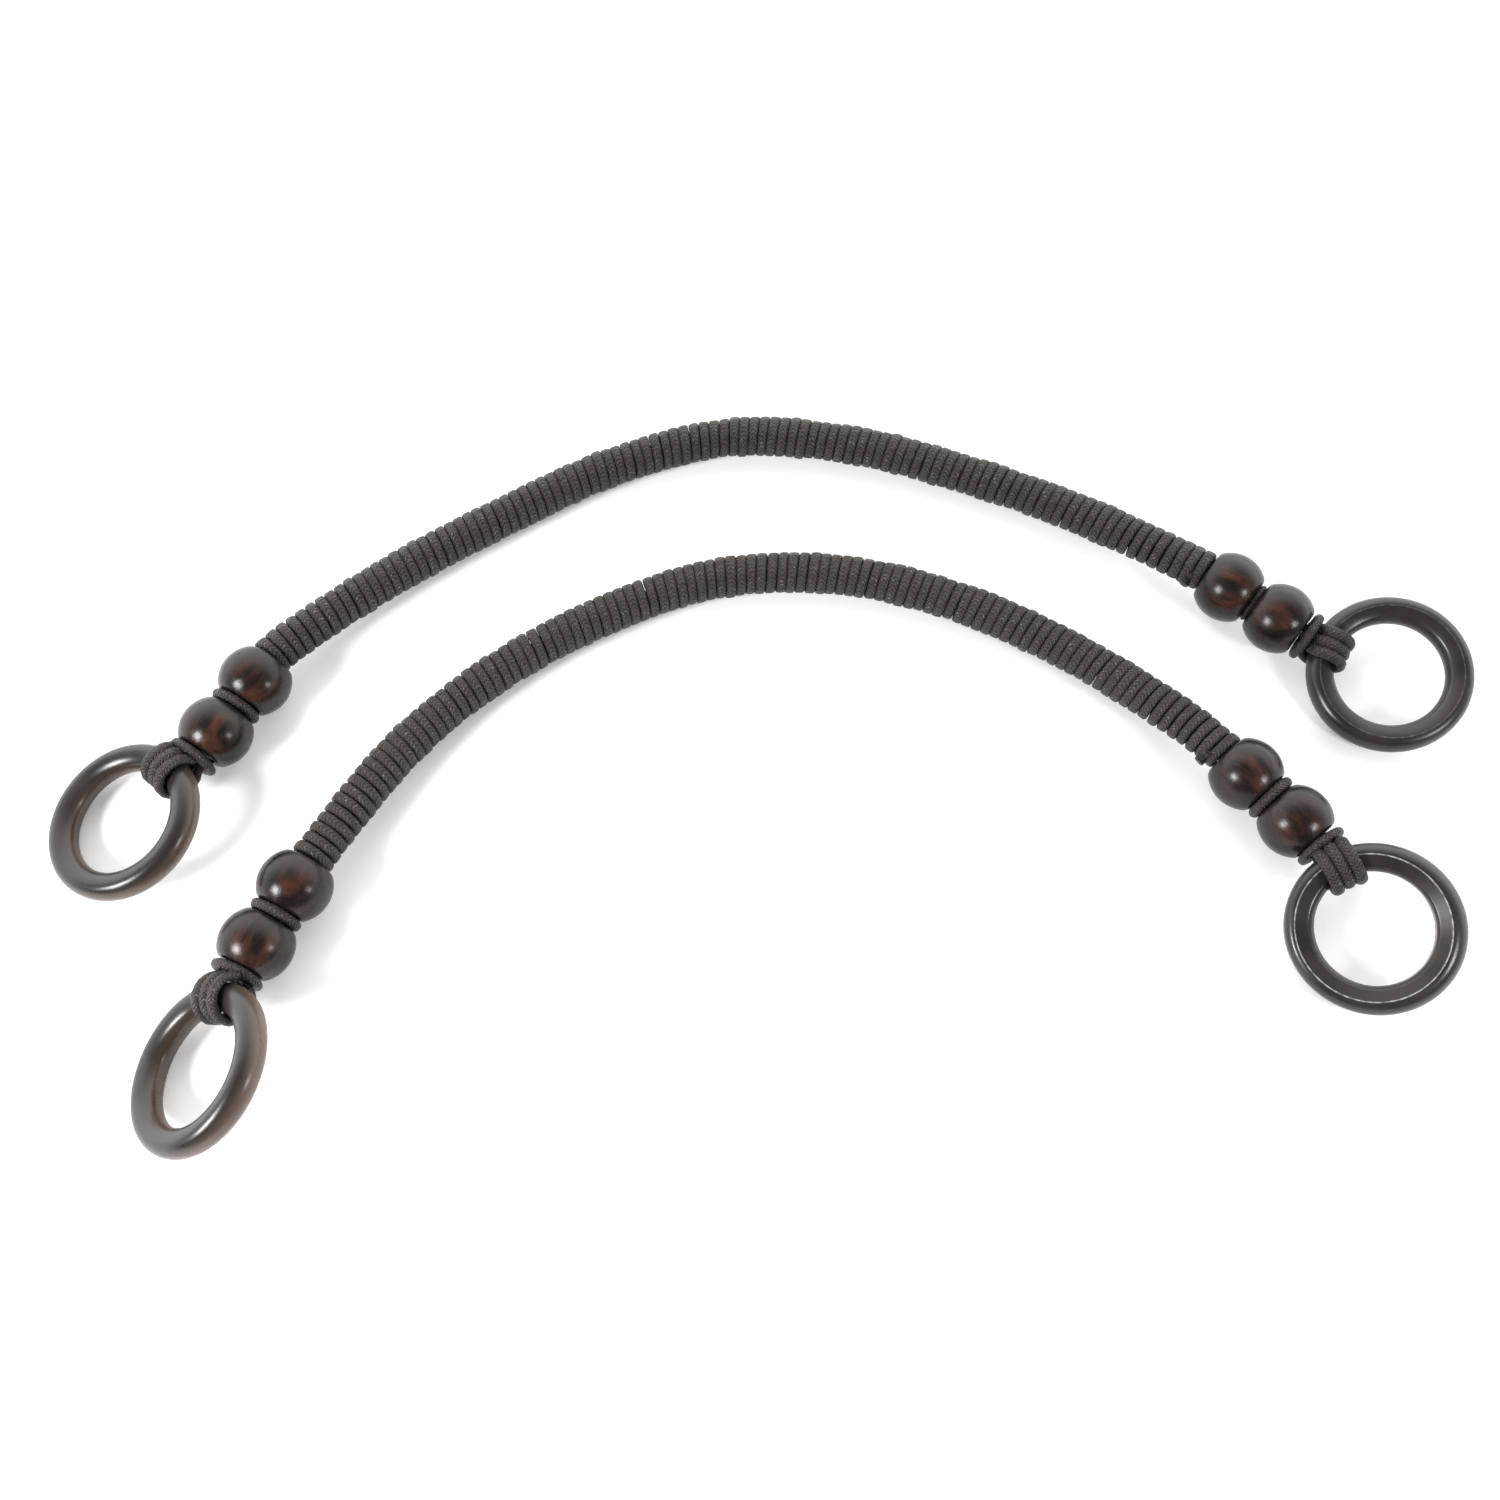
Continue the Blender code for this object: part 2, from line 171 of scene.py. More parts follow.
NECK_PITCH = 2.30 * MM          # three strands over three inside the neck collar
NECK_HALF_HEIGHT = 1.2 * MM
NECK_SQUEEZE = 0.76             # of a strand's width, inside the collar

BEAD_STEPS = 96                 # round a turned bead's mesh
BEAD_ROLL = 6.28                # radians, almost a full turn, as the most a bead is rolled
RING_STEPS = 192
RING_CRISPNESS = {"front_right": 1.0, "back_right": 0.50, "front_left": 0.2,
                  "back_left": 0.1}
# How far a crest is off its ring's centre: (away from the loop, to the left of that).
CREST_OFF_CENTRE = {"front_right": (-0.55 * MM, -0.80 * MM)}

CUT_ROOT = 2.2 * MM             # of a cut end, along the turn that it leaves
CUT_ASIDE = 0.4 * MM            # from the middle of that turn, along the cords inside

# Where a cord's cut end shows: on which turn, the angle round it in degrees, its length.
CUT_ENDS = {
    "back_left": ("neck", 215.0, 3.4 * MM),
    "front_left": ("middle", 200.0, 3.4 * MM),
    "front_right": ("winding", 170.0, 2.3 * MM),
    "back_right": ("winding", 170.0, 2.3 * MM),
}

OPENING_ELEVATION = 40.0         # of the middle of the tent's opening, at the front
OPENING_REACH = (50.0, 105.0)    # degrees from its middle: dim inside, white outside
OPENING_RADIANCE = 0.25
TENT_RADIANCE = 3.1
FLOOR_GLOW = 0.20                # the floor is a faintly lit panel
FLOOR_REACH = 4.0
WARM_WHITE = (1.0, 0.995, 0.985, 1.0)

# Each softbox: its place, size and brightness.
SOFTBOXES = {
    "left_softbox": ((-0.535, -0.30, 0.40), 0.20, 45.0),
    "right_softbox": ((0.40, -0.24, 0.27), 0.09, 31.5),
}

CAMERA_ELEVATION = 67.0
CAMERA_DISTANCE = 0.425
CAMERA_LENS = 36.0
CAMERA_SENSOR = 36.0

RANDOM_SEED = 7
JOINTS = {joint["name"]: joint for joint in frame["joints"]}


# Vectors and routes.

def frame_matrix(origin, along, upward):
    """Matrix with +X along, and +Z as near upward as a right angle allows."""
    x = along.normalized()
    y = upward.cross(x).normalized()
    z = x.cross(y)
    turn = Matrix((x, y, z)).transposed().to_4x4()
    return Matrix.Translation(origin) @ turn


def joint_point(name):
    return Vector(JOINTS[name]["pos_m"])


def joint_axis(name):
    return Vector(JOINTS[name]["axis"]).normalized()


def node_centre(name):
    low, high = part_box(name)
    return (low + high) / 2


def unit(vectors):
    return vectors / np.linalg.norm(vectors, axis=-1, keepdims=True)


def smooth_curve(points):
    """Catmull-Rom samples through the points."""
    points = np.array(points, float)
    padded = np.vstack([2 * points[0] - points[1], points, 2 * points[-1] - points[-2]])
    t = np.linspace(0, 1, SPAN_SAMPLES, endpoint=False)[:, None]
    spans = []
    for a, b, c, d in zip(padded, padded[1:], padded[2:], padded[3:]):
        spans.append((2 * b + (c - a) * t + (2 * a - 5 * b + 4 * c - d) * t ** 2
                      + (3 * b - a - 3 * c + d) * t ** 3) / 2)
    return np.vstack(spans + [points[-1:]])


class Route:
    """A smooth curve, read by the distance along it.

    Its above direction is the reference made square to the curve, and its across
    direction is square to both.
    """

    def __init__(self, points, reference):
        self.points = smooth_curve(points)
        steps = np.linalg.norm(np.diff(self.points, axis=0), axis=1)
        self.lengths = np.concatenate([[0.0], np.cumsum(steps)])
        self.length = self.lengths[-1]
        self.along = unit(np.gradient(self.points, self.lengths, axis=0))
        reference = np.array(reference, float)
        lean = (self.along @ reference)[:, None]
        self.above = unit(reference - self.along * lean)
        self.across = np.cross(self.above, self.along)

    def read(self, table, distance):
        columns = [np.interp(distance, self.lengths, table[:, k]) for k in range(3)]
        return np.stack(columns, axis=-1)

    def place(self, distance, across, above):
        """Points at these distances along, shifted across and above the curve."""
        return (self.read(self.points, distance)
                + self.read(self.across, distance) * across[..., None]
                + self.read(self.above, distance) * above[..., None])


# Meshes.

def skin(name, rows, lengths, loop=False):
    """A closed mesh over rows of points, each row once round a tube.

    loop joins the last row to the first. In its UV map U is the length along in
    millimetres and V goes once round.
    """
    count, sides = rows.shape[:2]
    index = np.arange(count * sides).reshape(count, sides)
    lower, upper = (index, np.roll(index, -1, axis=0)) if loop else (index[:-1], index[1:])
    quads = np.stack([lower, upper, np.roll(upper, -1, axis=1),
                      np.roll(lower, -1, axis=1)], axis=-1).reshape(-1, 4)
    along = np.broadcast_to(np.array(lengths)[:-1, None] / MM, (len(lower), sides))
    after = np.broadcast_to(np.array(lengths)[1:, None] / MM, (len(lower), sides))
    start = np.broadcast_to(np.arange(sides) / sides, (len(lower), sides))
    stop = start + 1 / sides
    corners = np.stack([np.stack(pair, axis=-1) for pair in
                        ((along, start), (after, start), (after, stop), (along, stop))],
                       axis=2).reshape(-1, 4, 2)
    points = rows.reshape(-1, 3)
    a, b, c, d = (points[quads[:, k]] - points.mean(axis=0) for k in range(4))
    volume = (a * np.cross(b, c) + a * np.cross(c, d)).sum()
    caps = [] if loop else [index[0], index[-1][::-1]]
    if volume < 0:
        quads, corners = quads[:, ::-1], corners[:, ::-1]
        caps = [cap[::-1] for cap in caps]
    mesh = bpy.data.meshes.new(name)
    mesh.from_pydata(points.tolist(), [], quads.tolist() + [cap.tolist() for cap in caps])
    around = np.linspace(0, 1, sides)
    for cap, length in zip(caps, (lengths[0], lengths[-1])):
        flat = np.stack([np.full(sides, length / MM), around], axis=-1)
        corners = np.concatenate([corners.reshape(-1, 2), flat])
    mesh.uv_layers.new(name="along_round").data.foreach_set("uv", corners.ravel())
    mesh.shade_smooth()
    mesh.set_sharp_from_angle(angle=SHARP_ANGLE)
    obj = bpy.data.objects.new(name, mesh)
    bpy.context.scene.collection.objects.link(obj)
    return obj


def lumps(run, around):
    """How far a cord's surface stands out: run is the angle along, around a share."""
    turn = 2 * np.pi * around
    return LUMP_DEPTH * (np.sin(3 * turn + run) + np.sin(2 * turn - 2 * run)
                         + np.sin(run + turn))


def section(sides, half_width, half_thickness, squareness=1.0):
    """Once round a cord's section, as five arrays.

    The share of the way round, the width and thickness there, and the angle's cosine
    and sine.
    """
    around = np.arange(sides) / sides
    angle = 2 * np.pi * around - np.pi / 2
    cosine, sine = np.cos(angle), np.sin(angle)
    width = half_width * np.sign(cosine) * np.abs(cosine) ** squareness
    thickness = half_thickness * np.sign(sine) * np.abs(sine) ** squareness
    return around, width, thickness, cosine, sine


def laid_cord(name, route, half_width, half_thickness, squeeze=1.0, phase=0.0):
    """A plaited cord along a route: its width lies along the route's above direction.

    squeeze narrows it at its two ends.
    """
    count = max(4, int(route.length / CORD_SPACING))
    distance = np.linspace(0.0, route.length, count)[:, None]
    around, width, thickness, cosine, sine = section(CORD_SIDES, half_width, half_thickness)
    relief = lumps(2 * np.pi * (distance + phase) / LUMP_LENGTH, around[None, :])
    free = np.clip(np.minimum(distance, route.length - distance) / SQUEEZE_REACH, 0, 1)
    fullness = squeeze + (1 - squeeze) * free * free * (3 - 2 * free)
    across = thickness[None, :] + relief * sine[None, :]
    above = width[None, :] * fullness + relief * cosine[None, :]
    rows = route.place(np.broadcast_to(distance, across.shape), across, above)
    return skin(name, rows, distance[:, 0] + phase)


def lathe(name, profile, steps, frame_at, off_centre=(0.0, 0.0)):
    """Turn a closed (radius, height) profile about the frame's own +Z.

    off_centre shifts its highest and lowest circles sideways, and those between less.
    """
    profile = np.array(profile)
    angle = 2 * np.pi * np.arange(steps) / steps
    height = np.broadcast_to(profile[:, 1], (steps, len(profile)))
    share = np.abs(profile[:, 1]) / np.abs(profile[:, 1]).max()
    shift = off_centre[0] * np.cos(angle) + off_centre[1] * np.sin(angle)
    radius = profile[None, :, 0] + shift[:, None] * share[None, :]
    rows = np.stack([radius * np.cos(angle)[:, None], radius * np.sin(angle)[:, None],
                     height], axis=-1)
    mean_radius = profile[:, 0].max()
    lengths = 2 * np.pi * mean_radius * np.arange(steps + 1) / steps
    obj = skin(name, rows, lengths, loop=True)
    obj.matrix_world = frame_at
    return obj


def arc(centre, radius, first, last, count):
    """Points of an arc in a profile, between two angles in degrees."""
    angles = np.radians(np.linspace(first, last, count))
    return [(centre[0] + radius * math.cos(a), centre[1] + radius * math.sin(a))
            for a in angles]


# Materials.

class Look:
    """One procedural material, built node by node."""

    def __init__(self, name):
        self.material = bpy.data.materials.new(name)
        self.material.use_nodes = True
        self.tree = self.material.node_tree
        self.shader = self.tree.nodes["Principled BSDF"]

    def put(self, value, socket):
        if isinstance(value, bpy.types.NodeSocket):
            self.tree.links.new(value, socket)
        else:
            socket.default_value = value

    def add(self, kind, inputs, **settings):
        node = self.tree.nodes.new("ShaderNode" + kind)
        for key, value in settings.items():
            setattr(node, key, value)
        for key, value in inputs.items():
            self.put(value, node.inputs[key])
        return node

    def math(self, operation, a, b=0.0):
        return self.add("Math", {0: a, 1: b}, operation=operation).outputs[0]

    def spread(self, value, low, high, to_low=0.0, to_high=1.0):
        """The value's stretch from low to high, as to_low to to_high."""
        return self.add("MapRange", {"Value": value, "From Min": low, "From Max": high,
                                     "To Min": to_low, "To Max": to_high}).outputs[0]

    def noise(self, coordinates, scale, detail=3.0, roughness=0.5):
        return self.add("TexNoise", {"Vector": coordinates, "Scale": scale,
                                     "Detail": detail,
                                     "Roughness": roughness}).outputs["Fac"]

    def stretched(self, coordinates, scale):
        return self.add("Mapping", {"Vector": coordinates, "Scale": scale}).outputs[0]

    def blend(self, factor, a, b):
        node = self.add("Mix", {"Factor": factor}, data_type="RGBA")
        self.put(a, node.inputs[6])
        self.put(b, node.inputs[7])
        return node.outputs[2]

    def bump(self, height, distance):
        return self.add("Bump", {"Height": height, "Distance": distance,
                                 "Strength": 1.0}).outputs["Normal"]

    def finish(self, colour, roughness, normal, **constants):
        self.put(colour, self.shader.inputs["Base Color"])
        self.put(roughness, self.shader.inputs["Roughness"])
        self.put(normal, self.shader.inputs["Normal"])
        for key, value in constants.items():
            self.shader.inputs[key.replace("_", " ")].default_value = value
        return self.material


CORD_LIGHT = (0.054, 0.0435, 0.0365, 1.0)
CORD_MIDDLE = (0.032, 0.0255, 0.0214, 1.0)
CORD_DARK = (0.0055, 0.0048, 0.0044, 1.0)
# painted glint: the pale grey of the wax flecks stands in for light caught on the wax
CORD_WAX_GLINT = (0.40, 0.38, 0.355, 1.0)


def cord_material():
    """Waxed plaited cotton: columns of leaning plaits, fuzz, painted shade in the plaits'
    grooves, and flecks of wax lightened as painted glints.
    """
    look = Look("waxed_plaited_cord")
    place = look.add("UVMap", {}, uv_map="along_round").outputs[0]
    parts = look.add("SeparateXYZ", {0: place})
    flat = look.stretched(place, (1.0, CORD_ROUND, 1.0))
    column = look.math("MULTIPLY", parts.outputs[1], float(PLAIT_COLUMNS))
    lean = look.math("MULTIPLY", look.math("PINGPONG", column, 1.0), PLAIT_LEAN)
    run = look.math("DIVIDE", parts.outputs[0], PLAIT_LENGTH)
    waver = look.math("MULTIPLY", look.noise(flat, 0.8, 2.0), 0.7)
    phase = look.math("ADD", look.math("ADD", run, lean), waver)
    plait = look.math("SINE", look.math("MULTIPLY", phase, 2 * math.pi))
    thread = look.math("SINE", look.math("MULTIPLY", phase, 8 * math.pi))
    crease = look.math("ABSOLUTE", look.math("SINE", look.math("MULTIPLY", column,
                                                               math.pi)))
    fuzz = look.noise(flat, 4.2, 4.0, 0.75)
    tone = look.noise(flat, 0.22, 2.0)
    height = look.math("ADD", look.math("MULTIPLY", plait, 1.15),
                       look.math("MULTIPLY", thread, 0.15))
    height = look.math("ADD", height, look.math("MULTIPLY", crease, 0.45))
    height = look.math("ADD", height, look.math("MULTIPLY", fuzz, 1.5))
    # painted shade: darker where the plaits and the creases between their columns sink, mixed
    # with the fuzz's uneven tone
    shade = look.spread(height, -0.3, 2.2, 0.15, 1.0)
    colour = look.blend(shade, CORD_DARK, look.blend(tone, CORD_MIDDLE, CORD_LIGHT))
    fleck = look.spread(look.noise(flat, 2.2, 2.0, 0.6), 0.55, 0.66)
    patch = look.spread(look.noise(flat, 0.45, 2.0), 0.46, 0.60)
    raised = look.spread(plait, -0.3, 0.7)
    # wax flecks on the raised plaits: glossier, and lightened towards pale grey as painted
    # glints
    waxed = look.math("MULTIPLY", look.math("MULTIPLY", fleck, raised), patch)
    colour = look.blend(look.math("MULTIPLY", waxed, 0.5), colour, CORD_WAX_GLINT)
    roughness = look.spread(waxed, 0.0, 0.6, 0.42, 0.22)
    normal = look.bump(height, 0.00011)
    return look.finish(colour, roughness, normal, Specular_IOR_Level=0.34)


BEAD_DARK = (0.0055, 0.0042, 0.0040, 1.0)
BEAD_BROWN = (0.017, 0.0100, 0.0080, 1.0)
# painted glow: a red that shows only where the bead faces the camera
BEAD_RED_GLOW = (0.072, 0.0250, 0.0150, 1.0)


def bead_material():
    """Turned hardwood under a dark red-brown stain and a satin lacquer, with a painted red
    glow where it faces the camera.
    """
    look = Look("stained_bead_wood")
    place = look.add("TexCoord", {}).outputs["Object"]
    grain = look.noise(look.stretched(place, (900.0, 900.0, 120.0)), 1.0, 4.0, 0.6)
    bands = look.noise(look.stretched(place, (90.0, 260.0, 60.0)), 1.0, 3.0, 0.55)
    pores = look.noise(look.stretched(place, (2600.0, 2600.0, 340.0)), 1.0, 2.0)
    rim = look.add("LayerWeight", {"Blend": 0.5}).outputs["Facing"]
    colour = look.blend(look.spread(bands, 0.38, 0.66), BEAD_DARK, BEAD_BROWN)
    # painted glow: red where the surface faces the camera, following the stain's bands and
    # grain
    glow = look.math("MULTIPLY", look.spread(rim, 0.33, 0.03),
                     look.spread(bands, 0.42, 0.60, 0.05, 1.0))
    glow = look.math("MULTIPLY", glow, look.spread(grain, 0.30, 0.62, 0.5, 1.0))
    colour = look.blend(glow, colour, BEAD_RED_GLOW)
    colour = look.blend(look.spread(pores, 0.60, 0.70, 0.0, 0.8), colour, BEAD_DARK)
    roughness = look.spread(grain, 0.3, 0.7, 0.19, 0.32)
    specks = look.noise(place, 3100.0, 2.0)
    height = look.math("ADD", grain, look.math("MULTIPLY", pores, -0.5))
    height = look.math("ADD", height, look.math("MULTIPLY", specks, 0.6))
    normal = look.bump(height, 0.00003)
    return look.finish(colour, roughness, normal, Specular_IOR_Level=0.30)


RING_BLACK = (0.0140, 0.0120, 0.0106, 1.0)
RING_GREY = (0.0260, 0.0222, 0.0198, 1.0)
# brown wood, lightened by painted floor bounce, in the hole and round one lower side
RING_BROWN_BOUNCE = (0.066, 0.039, 0.028, 1.0)
RING_TAN_BOUNCE = (0.115, 0.076, 0.056, 1.0)
# pale bare wood with a painted highlight, along the crest
RING_WORN_HIGHLIGHT = (0.46, 0.45, 0.43, 1.0)


def ring_material(name, wear_and_highlight, brown_and_bounce, off_centre=(0.0, 0.0)):
    """Turned hardwood, near-black on its faces.

    The first number sets how much pale bare wood and painted highlight show along the crest.
    The second sets how much brown shows in the hole, brown wood lit by painted floor bounce,
    and how much tan shows round the lower outside at the side the frame's +Y points to, which
    is painted floor bounce on brown wood.
    """
    look = Look(name)
    place = look.add("TexCoord", {}).outputs["Object"]
    parts = look.add("SeparateXYZ", {0: place})
    out = look.math("SQRT", look.math("ADD", look.math("POWER", parts.outputs[0], 2.0),
                                      look.math("POWER", parts.outputs[1], 2.0)))
    level = look.math("ABSOLUTE", parts.outputs[2])
    cloud = look.noise(place, 90.0, 3.0)
    grain = look.noise(look.stretched(place, (260.0, 1400.0, 1400.0)), 1.0, 4.0, 0.6)
    colour = look.blend(look.spread(cloud, 0.35, 0.70), RING_BLACK, RING_GREY)
    colour = look.blend(look.spread(grain, 0.55, 0.75, 0.0, 0.12), colour, RING_GREY)
    # brown wood in the hole, lightened by painted floor bounce
    hollow = look.spread(out, HOLE_RADIUS + 1.5 * MM, HOLE_RADIUS + 0.2 * MM)
    brown = look.math("MULTIPLY", hollow,
                      look.spread(cloud, 0.25, 0.65, 0.35 * brown_and_bounce, 0.9 * brown_and_bounce))
    colour = look.blend(brown, colour, RING_BROWN_BOUNCE)
    # painted floor bounce: tan brown wood round the lower outside, at the frame's +Y side
    # only
    outside = look.math("MULTIPLY", look.spread(parts.outputs[2], 3.1 * MM, 0.6 * MM),
                        look.spread(out, RING_CREST_RADIUS, RING_OUTER_RADIUS - 0.6 * MM))
    outside = look.math("MULTIPLY", outside,
                        look.spread(parts.outputs[1], -4.0 * MM, 12.0 * MM))
    colour = look.blend(look.math("MULTIPLY", outside, 0.85 * brown_and_bounce), colour, RING_TAN_BOUNCE)
    shifted = [look.math("POWER", look.math("SUBTRACT", parts.outputs[k], off_centre[k]), 2.0)
               for k in range(2)]
    around_crest = look.math("SQRT", look.math("ADD", *shifted))
    off_crest = look.math("ABSOLUTE", look.math("SUBTRACT", around_crest, RING_CREST_RADIUS))
    on_crest = look.spread(off_crest, 0.24 * MM, 0.05 * MM)
    high = look.spread(level, RING_HALF_HEIGHT * 0.90, RING_HALF_HEIGHT * 0.97)
    patches = look.spread(look.noise(place, 700.0, 4.0, 0.7), 0.36, 0.60, 0.20, 1.0)
    # along the crest's top: pale bare wood and a painted highlight
    worn_highlight = look.math("MULTIPLY", look.math("MULTIPLY", on_crest, high), patches)
    colour = look.blend(look.math("MULTIPLY", worn_highlight, wear_and_highlight), colour, RING_WORN_HIGHLIGHT)
    roughness = look.spread(cloud, 0.3, 0.7, 0.24, 0.31)
    specks = look.noise(place, 2200.0, 2.0)
    height = look.math("ADD", look.math("MULTIPLY", worn_highlight, 0.4),
                       look.math("MULTIPLY", specks, 0.45))
    normal = look.bump(height, 0.00003)
    return look.finish(colour, roughness, normal, Specular_IOR_Level=0.42)


CORD = cord_material()
BEAD_WOOD = bead_material()
# the right rings: pale bare wood and a painted highlight along the crest, and only a little
# painted floor bounce
RING_WOOD = {
    "front_right": ring_material("lacquered_ring_wood_worn_highlit", 0.9, 0.15,
                                 CREST_OFF_CENTRE["front_right"]),
    "back_right": ring_material("lacquered_ring_wood_rubbed_highlit", 0.16, 0.15),
}
# the left rings: brown wood with the most painted floor bounce, and no pale crest
PLAIN_RING_WOOD = ring_material("lacquered_ring_wood", 0.0, 1.0)


def dress(obj, material):
    obj.data.materials.append(material)
    return obj


# The grip.

class Handle:
    """One handle's grip route and where its segments meet, from the CAD frame."""

    def __init__(self, prefix):
        self.prefix = prefix
        middle = [Vector(point) * MM - GROUND_CENTRE for point in GRIP_POINTS[prefix]]
        beads = {(side, place): joint_point(f"{prefix}_{side}_{place}_bead_spin")
                 for side in SIDES for place in BEAD_PLACES}
        points = ([beads["left", "outer"], beads["left", "inner"]] + middle
                  + [beads["right", "inner"], beads["right", "outer"]])
        self.route = Route(points, UP)
        reach = BEAD_HALF_LENGTH + WINDING_TO_BEAD
        gaps = {side: (beads[side, "inner"] - beads[side, "outer"]).length
                for side in SIDES}
        self.start = gaps["left"] + reach
        self.stop = self.route.length - gaps["right"] - reach
        inset = BEAD_TO_GRIP - WINDING_TO_BEAD
        self.step = (self.stop - self.start - 2 * inset) / GRIP_SEGMENTS
        self.first_pivot = self.start + inset + self.step

    def pivot(self, number):
        return self.first_pivot + self.step * (number - 1)

    def spans(self):
        """The four lengths that each cross one pivot: (number, from, to)."""
        for number in range(1, GRIP_SEGMENTS):
            first = self.start if number == 1 else self.pivot(number) - self.step / 2
            last = self.stop if number == GRIP_SEGMENTS - 1 else (
                self.pivot(number) + self.step / 2)
            yield number, first, last

    def bend(self, obj, number):
        """Bake a piece's transform into its mesh; the route's points either side of pivot
        number are read but not used.
        """
        near, far = (self.route.read(self.route.points, self.pivot(number) + reach)
                     for reach in (-FLEX_REACH, FLEX_REACH))
        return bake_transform(obj)


def uneven(random, turns, size, per_turn):
    """A smooth random number for each place along the winding."""
    knots = random.normal(0.0, size, int(turns * per_turn) + 4)
    return lambda t: np.interp(t * per_turn + 1, np.arange(len(knots)), knots)


def seated(t):
    """How far along the winding a turn lies, in turns, when its end lies flat."""
    whole = np.floor(t)
    climb = np.clip((t - whole - SEATED_PART) / (1 - SEATED_PART), 0, 1)
    stepped = whole + climb * climb * (3 - 2 * climb)
    return t + (stepped - t) * np.clip(1 - t / SEATED_TURNS, 0, 1)


def winding(handle, random):
    """The wound cord, in four lengths that meet inside segments 2, 3 and 4."""
    length = handle.stop - handle.start
    turns = round(length / WINDING_PITCH)
    pitch = length / turns
    lift = uneven(random, turns, TURN_LOOSENESS, 1)
    drift = uneven(random, turns, TURN_DRIFT, 1)
    swell = uneven(random, turns, SWELL, 2)
    circumference = 2 * math.pi * WINDING_RADIUS
    around, width, thickness, cosine, sine = section(
        WINDING_SIDES, WINDING_HALF_WIDTH, WINDING_HALF_THICKNESS, WINDING_SQUARENESS)
    nodes = {}
    for number, first, last in handle.spans():
        t_first = max(0.0, (first - handle.start) / pitch - 0.5)
        t_last = min(turns - 1.0, (last - handle.start) / pitch - 0.5)
        count = int((t_last - t_first) * WINDING_SAMPLES) + 1
        t = np.linspace(t_first, t_last, count)[:, None]
        free = np.clip(np.minimum(t, turns - 1.0 - t) / WINDING_TUCKED_PART, 0.0, 1.0)
        free = free * free * (3 - 2 * free)
        relief = lumps(2 * np.pi * t * circumference / LUMP_LENGTH, around[None, :])
        radial = thickness * (1 + swell(t)) + relief * sine
        axial = width * (1 + swell(t)) + relief * cosine
        place = seated(t) - seated(turns - 1 - t) + turns - 1 - t
        centre = handle.start + pitch * (place + 0.5) + drift(t) * free
        radius = WINDING_RADIUS + lift(t) * free - WINDING_TUCK * (1 - free)
        angle = -2 * np.pi * t - np.pi / 2
        out = radius + radial
        rows = handle.route.place(centre + axial, out * np.cos(angle), out * np.sin(angle))
        name = f"{handle.prefix}_winding_{number}"
        obj = dress(skin(name, rows, t[:, 0] * circumference), CORD)
        handle.bend(obj, number)
        nodes[number] = obj
    for number, obj in nodes.items():
        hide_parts(f"{handle.prefix}_grip_winding_{number}")
    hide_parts(f"{handle.prefix}_grip_winding_{GRIP_SEGMENTS}")


def twisted_rows(route, start, stop, turn_from, lay_radius, first_angle):
    """Rows of one cord that twists round a route, and how far along it each is."""
    count = max(4, int((stop - start) / CORE_SPACING))
    distance = np.linspace(start, stop, count)[:, None]
    angle = first_angle + 2 * np.pi * (distance - turn_from) / CORE_TWIST_LENGTH
    width, thickness = section(CORE_CORD_SIDES, CORE_CORD_RADIUS, CORE_CORD_RADIUS)[1:3]
    across = lay_radius * np.cos(angle) + thickness[None, :]
    above = lay_radius * np.sin(angle) + width[None, :]
    rows = route.place(np.broadcast_to(distance, across.shape), across, above)
    return rows, distance[:, 0]


def joined(name, pieces):
    """Several meshes as one object."""
    with bpy.context.temp_override(active_object=pieces[0], object=pieces[0],
                                   selected_objects=pieces,
                                   selected_editable_objects=pieces):
        bpy.ops.object.join()
    pieces[0].name = name
    pieces[0].data.name = name
    return pieces[0]


def core(handle):
    """The three cords under the winding."""
    for number, first, last in handle.spans():
        cords = []
        for k in range(CORE_CORDS):
            rows, lengths = twisted_rows(handle.route, first, last, handle.start,
                                         CORE_LAY_RADIUS, 2 * math.pi * k / CORE_CORDS)
            cords.append(skin(f"cord_{k}", rows, lengths))
        name = f"{handle.prefix}_core_{number}"
        obj = dress(joined(name, cords), CORD)
        handle.bend(obj, number)
        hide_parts(f"{handle.prefix}_grip_core_{number}")
        if number == GRIP_SEGMENTS - 1:
            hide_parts(f"{handle.prefix}_grip_core_{GRIP_SEGMENTS}")


# The ends.

def bead_profile():
    """Outer arc from the top face down to the bottom one, then up the bore."""
    rim = math.asin(BEAD_HALF_LENGTH / BEAD_RADIUS) - BEAD_EASED
    outside = arc((0.0, 0.0), BEAD_RADIUS, math.degrees(rim), -math.degrees(rim), 40)
    radius, height = outside[-1]
    down = BEAD_HALF_LENGTH + height
    corner = radius - down * math.tan(rim)
    flat = corner - down / math.cos(rim)
    eased = [(radius * (1 - t) ** 2 + corner * 2 * t * (1 - t) + flat * t * t,
              height * (1 - t) ** 2 - BEAD_HALF_LENGTH * (1 - (1 - t) ** 2))
             for t in np.linspace(0, 1, 8)[1:]]
    outside = [(a, -b) for a, b in reversed(eased)] + outside + eased
    edge = 0.5 * MM
    lower = arc((BEAD_BORE + edge, -BEAD_HALF_LENGTH + edge), edge, 270, 180, 5)
    upper = arc((BEAD_BORE + edge, BEAD_HALF_LENGTH - edge), edge, 180, 90, 5)
    bore = [(BEAD_BORE, height) for height in np.linspace(-4.0 * MM, 4.0 * MM, 5)]
    return outside + lower + bore + upper


